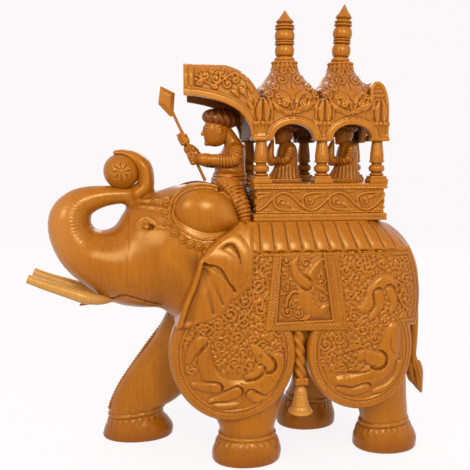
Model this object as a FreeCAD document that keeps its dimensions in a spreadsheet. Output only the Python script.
import FreeCAD, Part
import math
import os
import Sketcher
from FreeCAD import Placement, Rotation, Vector

# Carved wooden elephant with a mahout and a howdah (a canopied seat for two).
# Frame: +Z up, the elephant faces -X, its left side is -Y. The origin is on the ground, under
# the middle of the whole object.

doc = FreeCAD.newDocument("carved_elephant")

# ---------------------------------------------------------------- driving dimensions, mm
DIMENSIONS = [
    ("back_height", 230, "ground to the top of the back"),
    ("body_half_width", 62, "middle plane to the widest part of the flank"),
    ("cloth_depth", 14, "slab of a cloth lobe, measured inwards from its carved face"),
    ("cloth_proud", 4, "face of a cloth lobe stands out from the flank"),
    ("pad_length", 150, "ribbed pad under the howdah"),
    ("pad_depth", 50, "ribbed pad under the howdah"),
    ("pad_margin", 2, "pad stands out round the howdah's sides"),
    ("pad_middle", 77, "middle of the pad, lengthwise"),
    ("seat_height", 234, "ground to the flat the howdah stands on"),
    ("socket_clearance", 0.06, "radial gap round a loose peg"),
    ("glue_gap", 0.02, "radial gap round a glued peg"),
    ("foot_radius", 33, "longest radius of a foot"),
    ("ball_radius", 17.5, "ball in the trunk"),
    ("ball_x", -114, "ball centre, lengthwise"),
    ("ball_height", 281, "ball centre above the ground"),
    ("tusk_root_radius", 6.5, "tusk at the mouth"),
    ("tusk_tip_radius", 4, "tusk at its cut-off end"),
    ("tusk_spacing", 40, "between the tusks' axes"),
    ("tusk_peg_radius", 4.5, "peg in the mouth"),
    ("tusk_peg_length", 14, "peg in the mouth"),
    ("howdah_front", 9, "front edge of the howdah's boards"),
    ("howdah_length", 132, "howdah boards, lengthwise"),
    ("howdah_width", 92, "howdah boards, across"),
    ("frieze_inset", 2, "frieze block stands back from the boards"),
    ("base_board_thick", 7, "base board"),
    ("frieze_height", 23.5, "frieze block"),
    ("top_board_thick", 5.1, "top board"),
    ("dowel_radius", 4, "locating dowel"),
    ("dowel_length", 24, "locating dowel"),
    ("dowel_engagement", 12, "depth of the dowel in the pad"),
    ("dowel_spacing", 80, "between the two dowels"),
    ("pillar_height", 40.4, "top board to the roof"),
    ("pillar_radius", 6.5, "turned shaft at its top"),
    ("pillar_base_side", 18, "square block at the foot"),
    ("tenon_radius", 3, "pillar tenon"),
    ("tenon_length", 4, "pillar tenon"),
    ("pillar_front", 17.8, "front pillar row, lengthwise"),
    ("front_bay", 59.4, "front to middle pillars"),
    ("rear_bay", 55.3, "middle to rear pillars"),
    ("dome_half", 28.5, "dome's middle to the valley beside it"),
    ("pillar_row", 35, "middle plane to a row of pillars"),
    ("roof_wall_height", 50, "capitals' undersides to the valleys of the domes"),
    ("dome_height", 29, "valley to the flat of the dome's neck"),
    ("dome_neck_radius", 11.5, "dome's neck"),
    ("hood_front", -57, "front end of the front hood"),
    ("hood_top", 382, "top of the front hood"),
    ("hood_side_drop", 31, "depth of the hood's side at its front end"),
    ("hood_half_width", 40, "middle plane to the hood's side"),
    ("hood_wall", 6, "hood's top and sides"),
    ("arch_radius", 20, "arches between the pillars"),
    ("fin_thick", 13, "curved hood over the back wall"),
    ("finial_radius", 10.5, "bulbs of a finial"),
    ("front_finial_height", 49.5, "front finial above the neck"),
    ("rear_finial_height", 57.5, "rear finial above the neck"),
    ("rear_finial_lean", 3.5, "degrees, towards the tail"),
    ("finial_peg_radius", 3, "peg under a finial"),
    ("finial_peg_length", 10, "peg under a finial"),
    ("finial_gap", 0.6, "under a finial's base, so that a leaning one clears the neck"),
    ("small_peg_radius", 4, "pegs of the mahout and the tail"),
    ("tail_flat", 176, "flat on the rump that the tail is pegged into, lengthwise"),
    ("tail_peg_length", 10, "peg of the tail"),
    ("mahout_peg_length", 12, "peg of the mahout"),
    ("bell_radius", 12, "mouth of a bell"),
    ("bell_height", 27, "turned part of a bell"),
    ("bell_x", 53, "bell, lengthwise"),
    ("bell_y", 58, "middle plane to the bell's axis"),
    ("bell_pin_height", 82, "ground to the bell's pin"),
    ("bell_pin_radius", 1.2, "pin that the bell hangs from"),
    ("bell_pin_length", 12, "pin that the bell hangs from"),
    ("bell_tab_thick", 3, "flat loop on the bell's crown"),
    ("bell_slot", 4.4, "slot that the loop swings in"),
    ("spear_radius", 1.5, "spear shaft"),
    ("spear_length", 96, "whole spear"),
    ("spear_blade_length", 22, "leaf of the spear"),
    ("spear_blade_width", 15, "leaf of the spear"),
    ("spear_blade_thick", 3, "leaf of the spear"),
    ("spear_tilt", 25.5, "degrees from upright, towards the head"),
    ("spear_foot_x", -32, "lower end of the spear"),
    ("spear_foot_height", 271, "lower end of the spear"),
    ("mahout_seat_height", 262, "flat on the neck that the mahout sits on"),
    ("mahout_x", -6, "mahout's spine, lengthwise"),
    ("mahout_leg_inner", 33, "middle plane to the inside of the mahout's legs"),
    ("mahout_back_gap", 0.6, "mahout's back to the front edge of the howdah"),
    ("passenger_height", 62.5, "seated passenger with turban"),
    ("passenger_front_x", 49, "front passenger, lengthwise"),
    ("passenger_rear_x", 111.5, "rear passenger, lengthwise"),
    ("passenger_plinth", 4, "low block that a passenger sits on"),
]
sheet = doc.addObject("Spreadsheet::Sheet", "Dims")
for row, (alias, value, note) in enumerate(DIMENSIONS, start=1):
    sheet.set(f"A{row}", alias)
    sheet.set(f"B{row}", str(value))
    sheet.setAlias(f"B{row}", alias)
    sheet.set(f"C{row}", note)
doc.recompute()
size = {alias: value for alias, value, note in DIMENSIONS}

SIDES = (("left", -1), ("right", 1))
HOWDAH_MID = "(howdah_front + howdah_length / 2)"
BAYS = ("(pillar_front + front_bay / 2)", "(pillar_front + front_bay + rear_bay / 2)")
ALONG_X = Rotation(Vector(0, 1, 0), 90)
ALONG_Y = Rotation(Vector(1, 0, 0), -90)
UPRIGHT = Rotation()
TUSK_ROOT = ("-131", "158")
TUSK_TIP = ("-203", "181.5")
TUSK_PEG_TURN = Rotation(Vector(0, 0, 1), Vector(1, 0, -0.2))
nodes = []


# ---------------------------------------------------------------- helpers
def sheet_terms(expression):
    """Turn plain alias names into references to the sheet."""
    words = []
    word = ""
    for letter in expression + " ":
        if letter.isalnum() or letter in "_.":
            word += letter
            continue
        words.append(f"Dims.{word}" if word in size else word)
        words.append(letter)
        word = ""
    return "".join(words).strip()


def bind(item, **sizes):
    """Bind properties of an object to formulas over the sheet's aliases."""
    for prop, formula in sizes.items():
        item.setExpression(prop, sheet_terms(str(formula)))
    return item


def place(item, x="0", y="0", z="0", turn=UPRIGHT):
    """Set an object's rotation and bind its position."""
    item.Placement = Placement(Vector(), turn)
    for prop, formula in (("x", x), ("y", y), ("z", z)):
        item.setExpression(f"Placement.Base.{prop}", sheet_terms(str(formula)))
    return item


def box(name, length, width, height, x, y, z, turn=UPRIGHT):
    """A block, placed by its low corner."""
    item = doc.addObject("Part::Box", name)
    bind(item, Length=length, Width=width, Height=height)
    return place(item, x, y, z, turn)


def centred_box(name, length, width, height, x, y, z):
    """A block, placed by the middle of its underside."""
    return box(name, length, width, height, f"{x} - ({length}) / 2", f"{y} - ({width}) / 2", z)


def rod(name, radius, length, x, y, z, turn=UPRIGHT):
    """A plain cylinder."""
    item = doc.addObject("Part::Cylinder", name)
    bind(item, Radius=radius, Height=length)
    return place(item, x, y, z, turn)


def egg(name, x, y, z, radius_x, radius_y, radius_z, turn=UPRIGHT):
    """An ellipsoid."""
    item = doc.addObject("Part::Ellipsoid", name)
    bind(item, Radius1=radius_z, Radius2=radius_x, Radius3=radius_y)
    return place(item, x, y, z, turn)


def round_loft(name, stations):
    """A tapering round limb through circles: (x, y, z, radius, direction)."""
    rings = []
    for number, (x, y, z, radius, direction) in enumerate(stations):
        ring = doc.addObject("Part::Circle", f"{name}_ring{number}")
        bind(ring, Radius=radius)
        place(ring, x, y, z, Rotation(Vector(0, 0, 1), Vector(*direction)))
        rings.append(ring)
    return loft(name, rings)


def oval_loft(name, stations, turn=UPRIGHT):
    """A limb or trunk through ovals: (x, y, z, half-size along turned X, half-size along turned Y)."""
    rings = []
    for number, (x, y, z, first, second) in enumerate(stations):
        ring = doc.addObject("Part::Ellipse", f"{name}_ring{number}")
        bind(ring, MajorRadius=first, MinorRadius=second)
        place(ring, x, y, z, turn)
        rings.append(ring)
    return loft(name, rings)


def loft(name, rings):
    """A solid skinned straight from ring to ring."""
    item = doc.addObject("Part::Loft", name)
    item.Sections = rings
    item.Solid = True
    item.Ruled = True
    return item


def fuse(name, pieces):
    item = doc.addObject("Part::MultiFuse", name)
    item.Shapes = pieces
    return item


def common(name, pieces):
    item = doc.addObject("Part::MultiCommon", name)
    item.Shapes = pieces
    return item


def cut(name, base, tools):
    item = doc.addObject("Part::Cut", name)
    item.Base = base
    item.Tool = tools[0] if len(tools) == 1 else fuse(f"{name}_tools", tools)
    return item


def keep(item, node):
    """Name a finished sub-part: its Label is its node and its file."""
    item.Label = node
    nodes.append(item)
    return item


def plane_of(body, role):
    return next(feature for feature in body.Origin.OriginFeatures if feature.Role == role)


def outline_sketch(body, name, points, plane="XZ_Plane"):
    """A closed outline of straight runs; each corner is bound to two formulas over the sheet."""
    sketch = body.newObject("Sketcher::SketchObject", name)
    sketch.AttachmentSupport = [(plane_of(body, plane), "")]
    sketch.MapMode = "FlatFace"
    values = [(evaluate(across), evaluate(up)) for across, up in points]
    for start, end in zip(values, values[1:] + values[:1]):
        sketch.addGeometry(Part.LineSegment(Vector(*start, 0), Vector(*end, 0)), False)
    count = len(points)
    for number in range(count):
        sketch.addConstraint(Sketcher.Constraint("Coincident", number, 2, (number + 1) % count, 1))
    for number, (formulas, places) in enumerate(zip(points, values)):
        for kind, axis, formula, value in zip(("DistanceX", "DistanceY"), (-2, -1), formulas, places):
            if abs(value) < 1e-9:
                sketch.addConstraint(Sketcher.Constraint("PointOnObject", number, 1, axis))
                continue
            index = sketch.addConstraint(Sketcher.Constraint(kind, -1, 1, number, 1, value))
            sketch.setExpression(f"Constraints[{index}]", sheet_terms(str(formula)))
    return sketch


def evaluate(formula):
    """The value of a formula over the sheet's aliases, worked out by the sheet's own engine."""
    return float(sheet.evalExpression(sheet_terms(str(formula)).replace("Dims.", "")))


def turned_body(node, profile, x, y, z, turn=UPRIGHT):
    """A lathe-turned piece: (radius, height) from its foot to its tip, closed along the axis."""
    body = doc.addObject("PartDesign::Body", node)
    points = [("0", profile[0][1])] + list(profile)
    if evaluate(profile[-1][0]) > 0:
        points.append(("0", profile[-1][1]))
    sketch = outline_sketch(body, f"{node}_profile", points)
    turning = body.newObject("PartDesign::Revolution", f"{node}_turning")
    turning.Profile = sketch
    turning.ReferenceAxis = (sketch, ["V_Axis"])
    turning.Angle = 360
    place(body, x, y, z, turn)
    return body


# ---------------------------------------------------------------- the carved block
def trunk():
    """The raised trunk: up from the mouth, over and back, then a curl round the ball."""
    reach = [
        (-112, 190, 38, (-1, 0, 0.2)),
        (-140, 200, 30, (-0.8, 0, 0.6)),
        (-158, 217, 25, (-0.35, 0, 1)),
        (-164.5, 233, 21.5, (0.1, 0, 1)),
        (-157, 247.5, 16.5, (0.75, 0, 0.65)),
        (-139, 255, 12, (1, 0, 0.2)),
        (-121, 257.8, 9.2, (1, 0, 0.05)),
        (-103, 257.5, 8.5, (1, 0, 0.05)),
        (-92, 262.5, 8, (0.65, 0, 0.75)),
        (-89, 276, 7, (-0.1, 0, 1)),
        (-93.5, 289, 6, (-0.6, 0, 0.8)),
        (-105, 298, 4, (-0.95, 0, 0.3)),
        (-117, 300, 2, (-1, 0, -0.05)),
    ]
    return round_loft("trunk", [(x, 0, z, radius, direction) for x, z, radius, direction in reach])


def leg(name, foot_x, foot_y, hip_x, hip_height):
    """A leg: flared foot, anklet waist, then a thigh that leans into the body."""
    lean = hip_x - foot_x
    levels = [
        (0, 0, 0.94, 0.78),
        (10, 0, 1.0, 0.84),
        (26, 0.02, 0.80, 0.70),
        (36, 0.06, 0.76, 0.70),
        (70, 0.4, 0.86, 0.76),
        (hip_height, 1, 1.1, 0.82),
    ]
    stations = []
    for height, share, first, second in levels:
        sizes = (f"foot_radius * {first}", f"foot_radius * {second}")
        stations.append((foot_x + lean * share, foot_y, height, *sizes))
    return oval_loft(name, stations)


def cloth_lobe(name, x, z, radius_x, radius_z, side):
    """A rounded lobe of the cloth, a slab on the flank."""
    ring = doc.addObject("Part::Ellipse", f"{name}_outline")
    bind(ring, MajorRadius=max(radius_x, radius_z), MinorRadius=min(radius_x, radius_z))
    inner_face = f"{side} * (body_half_width + cloth_proud - cloth_depth)"
    place(ring, x, inner_face, z, Rotation(Vector(1, 0, 0), 90))
    slab = doc.addObject("Part::Extrusion", name)
    slab.Base = ring
    slab.DirMode = "Custom"
    slab.Dir = Vector(0, side, 0)
    slab.Solid = True
    bind(slab, LengthFwd="cloth_depth")
    return slab


def carved_block():
    """Head, trunk, ears, legs, cloth and pad, carved from one block."""
    back = "back_height"
    half = "body_half_width"
    # lengthwise place, centre height, half height and half width of the body, as shares
    torso_stations = [
        (-66, 0.870, 0.155, 0.52),
        (-42, 0.800, 0.300, 0.72),
        (0, 0.715, 0.330, 0.95),
        (45, 0.680, 0.325, 1.0),
        (100, 0.670, 0.330, 1.0),
        (145, 0.670, 0.315, 0.94),
        (170, 0.655, 0.240, 0.70),
        (179, 0.640, 0.140, 0.40),
    ]
    ovals = []
    for x, mid, tall, wide in torso_stations:
        ovals.append((x, 0, f"{back} * {mid}", f"{back} * {tall}", f"{half} * {wide}"))
    pieces = [oval_loft("torso", ovals, ALONG_X), trunk()]
    pieces.append(egg("skull", -58, 0, 218, 44, 40, 49))
    pieces.append(egg("cheeks", -100, 0, 184, 52, 34, 36))
    for name, foot_x, foot_y, hip_x, hip_height in (
        ("left_front_leg", 2, -39, -8, 140),
        ("right_front_leg", -102, 35, -34, 150),
        ("left_rear_leg", 149, -28, 142, 140),
        ("right_rear_leg", 90, 42, 112, 140),
    ):
        pieces.append(leg(name, foot_x, foot_y, hip_x, hip_height))
    for name, side in SIDES:
        pieces.append(cloth_lobe(f"{name}_front_lobe", -13, 110, 59, 62, side))
        pieces.append(cloth_lobe(f"{name}_rear_lobe", 117, 110, 59, 58, side))
        ear_y = f"{side} * body_half_width * 0.94"
        ear_turn = Rotation(Vector(0, 1, 0), 12)
        pieces.append(egg(f"{name}_ear", -31, ear_y, 192, 36, 9.5, 54, ear_turn))
        pieces.append(bell_hanger(name, side))
    pad_width = "howdah_width + 2 * pad_margin"
    pad_low = "seat_height - pad_depth"
    pieces.append(centred_box("pad_block", "pad_length", pad_width, "pad_depth", "pad_middle", "0", pad_low))
    block = fuse("block_outside", pieces)
    return keep(cut("elephant_body", block, block_sockets()), "elephant_body")


def bell_hanger(name, side):
    """The lower end of the twisted rope, where a bell hangs."""
    y = f"{side} * bell_y"
    return centred_box(f"{name}_rope_end", "13", "14", "50", "bell_x", y, "bell_pin_height - 4")


def block_sockets():
    """Everything cut out of the carved block: seats, sockets and slots."""
    tools = []
    for name, side in SIDES:
        tools.append(
            rod(
                f"{name}_tusk_socket",
                "tusk_peg_radius + glue_gap",
                "tusk_peg_length + 1",
                TUSK_ROOT[0],
                f"{side} * tusk_spacing / 2",
                TUSK_ROOT[1],
                TUSK_PEG_TURN,
            )
        )
        tools.append(tusk_shape(f"{name}_tusk_seat", side, "socket_clearance"))
        tools.append(
            centred_box(
                f"{name}_bell_slot",
                "14",
                "bell_slot",
                "14",
                "bell_x",
                f"{side} * bell_y",
                "bell_pin_height - 8",
            )
        )
        tools.append(
            rod(
                f"{name}_bell_pin_hole",
                "bell_pin_radius + glue_gap",
                "bell_pin_length",
                "bell_x",
                f"{side} * bell_y - bell_pin_length / 2",
                "bell_pin_height",
                ALONG_Y,
            )
        )
    tools.append(egg("ball_seat", "ball_x", 0, "ball_height", *["ball_radius + glue_gap"] * 3))
    for end, share in (("front", -0.5), ("rear", 0.5)):
        tools.append(
            rod(
                f"{end}_dowel_socket",
                "dowel_radius + socket_clearance",
                "dowel_engagement + 21",
                f"{HOWDAH_MID} + {share} * dowel_spacing",
                0,
                "seat_height - dowel_engagement - 1",
            )
        )
    tools.append(box("above_pad", "170", "200", "60", "0", "-100", "seat_height"))
    tools.append(mahout_seat())
    socket_radius = "small_peg_radius + glue_gap"
    socket_floor = "mahout_seat_height - mahout_peg_length - 1"
    socket_depth = "mahout_peg_length + 2"
    tools.append(rod("mahout_peg_socket", socket_radius, socket_depth, "mahout_x", 0, socket_floor))
    tools.append(box("tail_flat", "30", "40", "60", "tail_flat", "-20", "120"))
    socket_depth = "tail_peg_length + 1"
    socket_end = f"tail_flat - ({socket_depth})"
    tools.append(rod("tail_socket", socket_radius, socket_depth, socket_end, 0, "150", ALONG_X))
    tools.append(box("under_ground", "500", "300", "40", "-250", "-150", "-40"))
    return tools


def mahout_seat():
    """A flat seat on the neck with a flat down each side for the rider's legs."""
    over = centred_box("seat_cut", "36", "140", "30", "mahout_x", "0", "mahout_seat_height")
    flats = [over]
    for name, side in SIDES:
        flats.append(
            centred_box(
                f"{name}_leg_flat",
                "30",
                "20",
                "50",
                "mahout_x",
                f"{side} * (mahout_leg_inner - mahout_back_gap / 2 + 10)",
                "mahout_seat_height - 38",
            )
        )
    return fuse("mahout_seat_cut", flats)



# ---------------------------------------------------------------- pieces let into the block
def tusk_shape(name, side, gap="0"):
    """A gently upswept tusk through four rings, thinner towards its sawn end."""
    shares = (0, 0.35, 0.7, 1)
    sag = (0, -3.2, -3.0, 0)
    slope = (0.16, 0.24, 0.36, 0.45)
    stations = []
    for share, drop, rise in zip(shares, sag, slope):
        stations.append(
            (
                f"{TUSK_ROOT[0]} + ({TUSK_TIP[0]} - ({TUSK_ROOT[0]})) * {share}",
                f"{side} * tusk_spacing / 2",
                f"{TUSK_ROOT[1]} + ({TUSK_TIP[1]} - {TUSK_ROOT[1]}) * {share} + {drop}",
                f"tusk_root_radius + (tusk_tip_radius - tusk_root_radius) * {share} + {gap}",
                (-1, 0, rise),
            )
        )
    return round_loft(name, stations)


def tusks():
    for name, side in SIDES:
        peg = rod(
            f"{name}_tusk_peg",
            "tusk_peg_radius",
            "tusk_peg_length",
            TUSK_ROOT[0],
            f"{side} * tusk_spacing / 2",
            TUSK_ROOT[1],
            TUSK_PEG_TURN,
        )
        keep(fuse(f"{name}_tusk", [tusk_shape(f"{name}_tusk_horn", side), peg]), f"{name}_tusk")


def trunk_ball():
    ball = doc.addObject("Part::Sphere", "trunk_ball")
    bind(ball, Radius="ball_radius")
    keep(place(ball, "ball_x", 0, "ball_height"), "trunk_ball")


def tail():
    """A hanging tail with a tuft, pegged into a flat on the rump."""
    path = [
        (178, 151, 6.5, (1, 0, 0)),
        (185, 149, 7, (0.8, 0, -0.6)),
        (190, 137, 6, (0.15, 0, -1)),
        (191, 112, 5, (0, 0, -1)),
        (190.5, 86, 5.5, (0, 0, -1)),
        (192, 70, 7.5, (0.2, 0, -1)),
        (197, 55, 6.5, (0.25, 0, -1)),
        (201, 42, 2.5, (0.2, 0, -1)),
    ]
    hair = round_loft("tail_hair", [(x, 0, z, radius, direction) for x, z, radius, direction in path])
    root = rod("tail_root", "6.5", "5", "tail_flat", 0, "151", ALONG_X)
    peg_x = "tail_flat - tail_peg_length"
    peg = rod("tail_peg", "small_peg_radius", "tail_peg_length", peg_x, 0, "150", ALONG_X)
    keep(fuse("tail", [hair, root, peg]), "tail")


def bells():
    """A solid turned bell a side, hung by a flat loop from a pin across the rope's end."""
    for name, side in SIDES:
        y = f"{side} * bell_y"
        cup = turned_body(
            f"{name}_bell_cup",
            [
                ("bell_radius * 0.96", "0"),
                ("bell_radius", "bell_height * 0.05"),
                ("bell_radius * 0.72", "bell_height * 0.25"),
                ("bell_radius * 0.52", "bell_height * 0.55"),
                ("bell_radius * 0.44", "bell_height * 0.85"),
                ("bell_radius * 0.25", "bell_height"),
            ],
            "bell_x",
            y,
            "bell_pin_height - 5 - bell_height",
        )
        tab = centred_box(
            f"{name}_bell_tab", "6", "bell_tab_thick", "6.5", "bell_x", y, "bell_pin_height - 6.5"
        )
        crown = rod(
            f"{name}_bell_crown",
            "3",
            "bell_tab_thick",
            "bell_x",
            f"{y} - bell_tab_thick / 2",
            "bell_pin_height",
            ALONG_Y,
        )
        hole = rod(
            f"{name}_bell_eye",
            "bell_pin_radius + socket_clearance",
            "bell_tab_thick + 2",
            "bell_x",
            f"{y} - bell_tab_thick / 2 - 1",
            "bell_pin_height",
            ALONG_Y,
        )
        keep(cut(f"{name}_bell", fuse(f"{name}_bell_outside", [cup, tab, crown]), [hole]), f"{name}_bell")
        pin = rod(
            f"{name}_bell_pin",
            "bell_pin_radius",
            "bell_pin_length",
            "bell_x",
            f"{y} - bell_pin_length / 2",
            "bell_pin_height",
            ALONG_Y,
        )
        keep(pin, f"{name}_bell_pin")


# ---------------------------------------------------------------- the rider
SPEAR_TURN = Rotation(Vector(0, 1, 0), -size["spear_tilt"])
SPEAR_Y = "-2"


def spear_rod(name, radius, length):
    return rod(name, radius, length, "spear_foot_x", SPEAR_Y, "spear_foot_height", SPEAR_TURN)


def spear():
    """A thin shaft with a flat leaf."""
    shaft = spear_rod("spear_shaft", "spear_radius", "spear_length - spear_blade_length + 2")
    lean = math.radians(size["spear_tilt"])
    blade = doc.addObject("Part::Wedge", "spear_leaf")
    bind(
        blade,
        Xmin="-spear_blade_width / 2",
        Xmax="spear_blade_width / 2",
        X2min="-spear_radius",
        X2max="spear_radius",
        Ymin="0",
        Ymax="spear_blade_length",
        Zmin="-spear_blade_thick / 2",
        Zmax="spear_blade_thick / 2",
        Z2min="-spear_blade_thick / 2",
        Z2max="spear_blade_thick / 2",
    )
    reach = size["spear_length"]
    top_x = size["spear_foot_x"] - reach * math.sin(lean)
    top_z = size["spear_foot_height"] + reach * math.cos(lean)
    place(blade, top_x, SPEAR_Y, top_z, SPEAR_TURN.multiply(Rotation(Vector(1, 0, 0), -90)))
    keep(fuse("spear", [shaft, blade]), "spear")


def mahout():
    """The rider: robe, arms with both fists round the spear, head with a turban, legs astride."""
    x = "mahout_x"
    seat = "mahout_seat_height"
    pieces = [
        rod("mahout_peg", "small_peg_radius", "mahout_peg_length + 4", x, 0, f"{seat} - mahout_peg_length"),
        oval_loft(
            "mahout_robe",
            [
                (x, 0, seat, 17, 16),
                (x, 0, f"{seat} + 14", 16, 14.5),
                (f"{x} - 2", 0, f"{seat} + 30", 15.5, 15),
                (f"{x} - 4", 0, f"{seat} + 42", 9, 8.5),
            ],
        ),
        egg("mahout_head", f"{x} - 14", 0, f"{seat} + 57", 14, 12, 15),
        egg("mahout_turban", f"{x} - 11", 0, f"{seat} + 71", 18, 15, 10),
        rod("mahout_neck", "7", "14", f"{x} - 8", 0, f"{seat} + 38"),
        egg("mahout_shoulders", f"{x} - 3", 0, f"{seat} + 36", 11, 19, 9),
        centred_box("mahout_hips", "28", "2 * 38", "9", x, "0", seat),
    ]
    for name, side, fist_x, fist_z, elbow_x, elbow_z in (
        ("left", -1, -43, 293, -12, 291),
        ("right", 1, -54, 312, -20, 294),
    ):
        shoulder = Vector(evaluate(x) - 3, side * 17, evaluate(seat) + 35)
        elbow = Vector(elbow_x, side * 19, elbow_z)
        fist = Vector(fist_x, -2 + side * 1.5, fist_z)
        pieces.append(limb(f"mahout_{name}_upper_arm", shoulder, elbow, 6.5, 5.5))
        pieces.append(limb(f"mahout_{name}_forearm", elbow, fist, 5.5, 4.5))
        pieces.append(egg(f"mahout_{name}_elbow", elbow.x, elbow.y, elbow.z, 6, 6, 6))
        pieces.append(egg(f"mahout_{name}_fist", fist.x, fist.y, fist.z, 6, 6, 6))
        leg_y = f"{side} * (mahout_leg_inner + 3)"
        pieces.append(centred_box(f"mahout_{name}_leg", "24", "6", "36", x, leg_y, f"{seat} - 34"))
    figure = fuse("mahout_outside", pieces)
    channel = spear_rod("mahout_spear_channel", "spear_radius + socket_clearance", "spear_length - 10")
    back_x = "howdah_front - mahout_back_gap"
    behind = box("behind_mahout", "30", "100", "140", back_x, "-50", f"{seat} - 40")
    keep(cut("mahout", figure, [channel, behind]), "mahout")


def limb(name, start, end, start_radius, end_radius):
    """A straight tapering limb between two points."""
    along = end - start
    direction = (along.x, along.y, along.z)
    return round_loft(
        name,
        [
            (start.x, start.y, start.z, start_radius, direction),
            (end.x, end.y, end.z, end_radius, direction),
        ],
    )


# ---------------------------------------------------------------- the howdah
BASE_TOP = "seat_height + base_board_thick"
FRIEZE_TOP = f"{BASE_TOP} + frieze_height"
DECK = f"{FRIEZE_TOP} + top_board_thick"
CAPITAL = f"{DECK} + pillar_height"


def howdah_boards():
    """Base board, frieze block and top board, located by two dowels."""
    top_z = "seat_height + dowel_length - dowel_engagement"
    sockets = []
    for end, share in (("front", -0.5), ("rear", 0.5)):
        x = f"{HOWDAH_MID} + {share} * dowel_spacing"
        dowel = rod(f"howdah_dowel_{end}", "dowel_radius", "dowel_length", x, 0, f"{top_z} - dowel_length")
        keep(dowel, f"howdah_dowel_{end}")
        sockets.append((end, x))
    for node, thick, z, inset in (
        ("howdah_base_board", "base_board_thick", "seat_height", "0"),
        ("howdah_frieze_block", "frieze_height", BASE_TOP, "frieze_inset"),
        ("howdah_top_board", "top_board_thick", FRIEZE_TOP, "0"),
    ):
        board = centred_box(
            f"{node}_blank",
            f"howdah_length - 2 * {inset}",
            f"howdah_width - 2 * {inset}",
            thick,
            HOWDAH_MID,
            "0",
            z,
        )
        tools = []
        if node == "howdah_top_board":
            radius = "tenon_radius + glue_gap"
            for name, x, y in pillar_spots():
                floor = f"{DECK} - tenon_length"
                tools.append(rod(f"{name}_mortise", radius, "tenon_length + 1", x, y, floor))
        else:
            radius = "dowel_radius + glue_gap"
            for end, x in sockets:
                foot = f"{top_z} - dowel_length"
                tools.append(rod(f"{node}_{end}_hole", radius, "dowel_length + 0.5", x, 0, foot))
        keep(cut(node, board, tools), node)


def pillar_spots():
    """Each pillar's name and place: three a side."""
    spots = []
    for name, side in SIDES:
        for row, x in (
            ("front", "pillar_front"),
            ("middle", "pillar_front + front_bay"),
            ("rear", "pillar_front + front_bay + rear_bay"),
        ):
            spots.append((f"{name}_{row}_pillar", x, f"{side} * pillar_row"))
    return spots


def pillars():
    """Turned baluster pillars with a square block at the foot and a tenon at each end."""
    tall = "pillar_height"
    wide = "pillar_radius"
    profile = [
        ("tenon_radius", "-tenon_length"),
        ("tenon_radius", "0"),
        (f"{wide} * 1.2", "0"),
        (f"{wide} * 1.2", f"{tall} * 0.23"),
        (f"{wide} * 0.8", f"{tall} * 0.26"),
        (f"{wide} * 1.2", f"{tall} * 0.31"),
        (f"{wide} * 1.2", f"{tall} * 0.41"),
        (f"{wide} * 0.85", f"{tall} * 0.46"),
        (f"{wide} * 1.05", f"{tall} * 0.51"),
        (f"{wide} * 0.98", f"{tall} * 0.6"),
        (f"{wide} * 0.8", tall),
        ("tenon_radius", tall),
        ("tenon_radius", f"{tall} + tenon_length"),
    ]
    for name, x, y in pillar_spots():
        shaft = turned_body(f"{name}_turning", profile, x, y, DECK)
        wide_foot = "pillar_base_side"
        foot = centred_box(f"{name}_foot", wide_foot, wide_foot, f"{tall} * 0.17", x, y, DECK)
        keep(fuse(name, [shaft, foot]), name)


def passengers():
    """Two seated half-figures that face forward with folded hands."""
    for name in ("passenger_front", "passenger_rear"):
        x = f"{name}_x"
        tall = "passenger_height"
        pieces = [
            oval_loft(
                f"{name}_robe",
                [
                    (x, 0, DECK, 15, 14.5),
                    (f"{x} + 1", 0, f"{DECK} + {tall} * 0.15", 12, 11.5),
                    (f"{x} + 2", 0, f"{DECK} + {tall} * 0.4", 12.5, 12),
                    (f"{x} + 1", 0, f"{DECK} + {tall} * 0.55", 6.5, 6),
                ],
            ),
            egg(f"{name}_head", f"{x} - 2", 0, f"{DECK} + {tall} * 0.7", 11, 9, 11),
            egg(f"{name}_turban", x, 0, f"{DECK} + {tall} * 0.86", 13, 11, 8),
            egg(f"{name}_hands", f"{x} - 14", 0, f"{DECK} + {tall} * 0.42", 5, 5, 7),
            centred_box(f"{name}_plinth", "28", "30", "passenger_plinth", x, "0", DECK),
        ]
        for side_name, side in SIDES:
            shoulder = Vector(evaluate(x) + 1, side * 11, evaluate(DECK) + evaluate(tall) * 0.42)
            hand = Vector(evaluate(x) - 14, side * 2, evaluate(DECK) + evaluate(tall) * 0.38)
            pieces.append(limb(f"{name}_{side_name}_arm", shoulder, hand, 4.5, 3.5))
        keep(fuse(name, pieces), name)


def dome(name, x):
    """An ogee dome that sweeps up from the walls to a round neck."""
    z = f"{CAPITAL} + roof_wall_height"
    half = "dome_half"
    profile = [
        (f"{half} - 0.5", "-3"),
        (f"{half} - 0.5", "0"),
        (f"{half} * 0.78", "dome_height * 0.34"),
        (f"{half} * 0.5", "dome_height * 0.62"),
        ("dome_neck_radius * 1.05", "dome_height * 0.85"),
        ("dome_neck_radius", "dome_height"),
    ]
    return turned_body(name, profile, x, "0", z)


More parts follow.
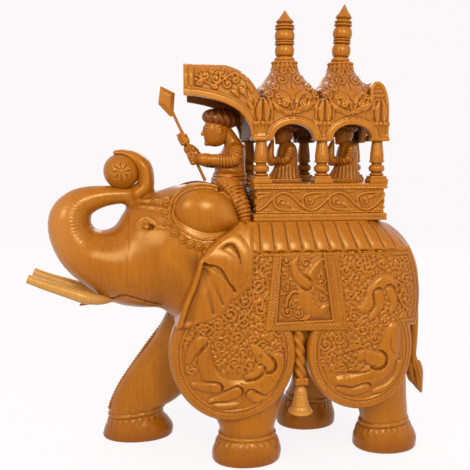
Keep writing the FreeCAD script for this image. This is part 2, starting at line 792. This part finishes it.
def roof():
    """Walls with two arches a side, one at the back, two domes and two hoods; hollow inside."""
    depth = "howdah_width"
    front = "howdah_front + 1"
    wall_top = f"{CAPITAL} + roof_wall_height"
    length = "howdah_length - 2"
    pieces = [box("roof_walls", length, depth, "roof_wall_height", front, f"-{depth} / 2", CAPITAL)]
    for name, x in zip(("front_dome", "rear_dome"), BAYS):
        pieces.append(dome(name, x))
    pieces.append(front_hood())
    pieces.append(rear_hood())
    wide = f"{depth} - 20"
    long = f"{length} - 18"
    tools = [box("cabin_hollow", long, wide, "24", f"{front} + 9", f"-({wide}) / 2", f"{CAPITAL} - 1")]
    arch_z = f"{CAPITAL} - 4"
    for number, x in enumerate(BAYS):
        across = (f"{depth} + 20", x, f"-{depth} / 2 - 10", arch_z, ALONG_Y)
        tools.append(rod(f"side_arch_{number}", "arch_radius", *across))
    tools.append(rod("end_arches", "arch_radius", f"{length} + 20", f"{front} - 10", "0", arch_z, ALONG_X))
    mortise_radius = "tenon_radius + glue_gap"
    mortise_z = f"{CAPITAL} - 1"
    for name, x, y in pillar_spots():
        tools.append(rod(f"{name}_roof_mortise", mortise_radius, "tenon_length + 1", x, y, mortise_z))
    for name, x, lean in finial_spots():
        sideways = math.sin(math.radians(lean))
        upwards = math.cos(math.radians(lean))
        tools.append(
            rod(
                f"{name}_socket",
                "finial_peg_radius + socket_clearance",
                "finial_peg_length + 6",
                f"{x} - (finial_peg_length + 1) * {sideways}",
                "0",
                f"{wall_top} + dome_height - (finial_peg_length + 1) * {upwards}",
                Rotation(Vector(0, 1, 0), lean),
            )
        )
    keep(cut("howdah_roof", fuse("roof_outside", pieces), tools), "howdah_roof")


def front_hood():
    """The long hood over the mahout: a hollow channel that springs from the front wall."""
    length = "howdah_front + 4 - hood_front"
    top = "hood_top"
    width = "2 * hood_half_width"
    tall = "hood_side_drop + 32"
    blank = box("hood_blank", length, width, tall, "hood_front", "-hood_half_width", f"{top} - ({tall})")
    under = egg(
        "hood_under_curve", "hood_front", "0", f"{top} - hood_side_drop - 44", "66", "300", "45"
    )
    hollow = box(
        "hood_hollow",
        "howdah_front - hood_front + 4 + 20",
        f"{width} - 2 * hood_wall",
        "60",
        "hood_front - 20",
        "-hood_half_width + hood_wall",
        f"{top} - hood_wall - 60",
    )
    over = box("hood_back_slope", "60", "200", "40", "-14", "-100", f"{top}", Rotation(Vector(0, 1, 0), 32))
    return cut("front_hood", blank, [under, hollow, over])


def rear_hood():
    """A short curved fin over the back wall."""
    x = "howdah_front + howdah_length - fin_thick + 0.5"
    width = "2 * hood_half_width"
    blank = box("fin_blank", "fin_thick", width, "50", x, "-hood_half_width", CAPITAL)
    curve_x = f"{x} - fin_thick"
    curve = (f"{width} + 10", curve_x, "-hood_half_width - 5", f"{CAPITAL} + 28", ALONG_Y)
    shape = rod("fin_curve", "2 * fin_thick", *curve)
    shoulder = box("fin_foot", "fin_thick", width, "28", x, "-hood_half_width", CAPITAL)
    return common("rear_hood", [blank, fuse("fin_outline", [shape, shoulder])])


def finial_spots():
    """Each finial's name, place and lean."""
    return (
        ("front_finial", BAYS[0], 0),
        ("rear_finial", BAYS[1], size["rear_finial_lean"]),
    )


def finials():
    """Turned spires with a cone, ringed bulbs and a loose peg; the rear one leans."""
    wide = "finial_radius"
    for name, x, lean in finial_spots():
        tall = f"{name}_height"
        profile = [("finial_peg_radius", "-finial_peg_length"), ("finial_peg_radius", "finial_gap")]
        # radius and height of the spire's rings and bulbs, as shares
        for across, up in (
            (0.9, 0.012),
            (1.0, 0.03),
            (0.9, 0.08),
            (0.8, 0.11),
            (1.02, 0.2),
            (0.8, 0.3),
            (1.02, 0.34),
            (0.8, 0.39),
            (1.02, 0.48),
            (0.8, 0.6),
            (1.05, 0.65),
            (0.85, 0.7),
            (0.92, 0.73),
            (0, 1),
        ):
            profile.append((f"{wide} * {across}" if across else "0", f"{tall} * {up}"))
        turn = Rotation(Vector(0, 1, 0), lean)
        z = f"{CAPITAL} + roof_wall_height + dome_height"
        keep(turned_body(name, profile, x, "0", z, turn), name)


# ---------------------------------------------------------------- build, test, write
carved_block()
tusks()
trunk_ball()
tail()
bells()
mahout()
spear()
howdah_boards()
pillars()
passengers()
roof()
finials()
doc.recompute()

for item in doc.Objects:
    faults = [state for state in item.State if state in ("Invalid", "Error")]
    if faults:
        raise RuntimeError(f"{item.Name} ({item.Label}) is {faults}")
for item in nodes:
    shape = item.Shape
    if shape.isNull() or not shape.isValid():
        raise RuntimeError(f"{item.Label} has no valid shape")
    if len(shape.Solids) != 1:
        raise RuntimeError(f"{item.Label} has {len(shape.Solids)} solids")

os.makedirs("parts", exist_ok=True)
for item in nodes:
    item.Shape.exportStep(f"parts/{item.Label}.step")
    print(f"{item.Label:24s} volume {item.Shape.Volume:10.0f} mm3")
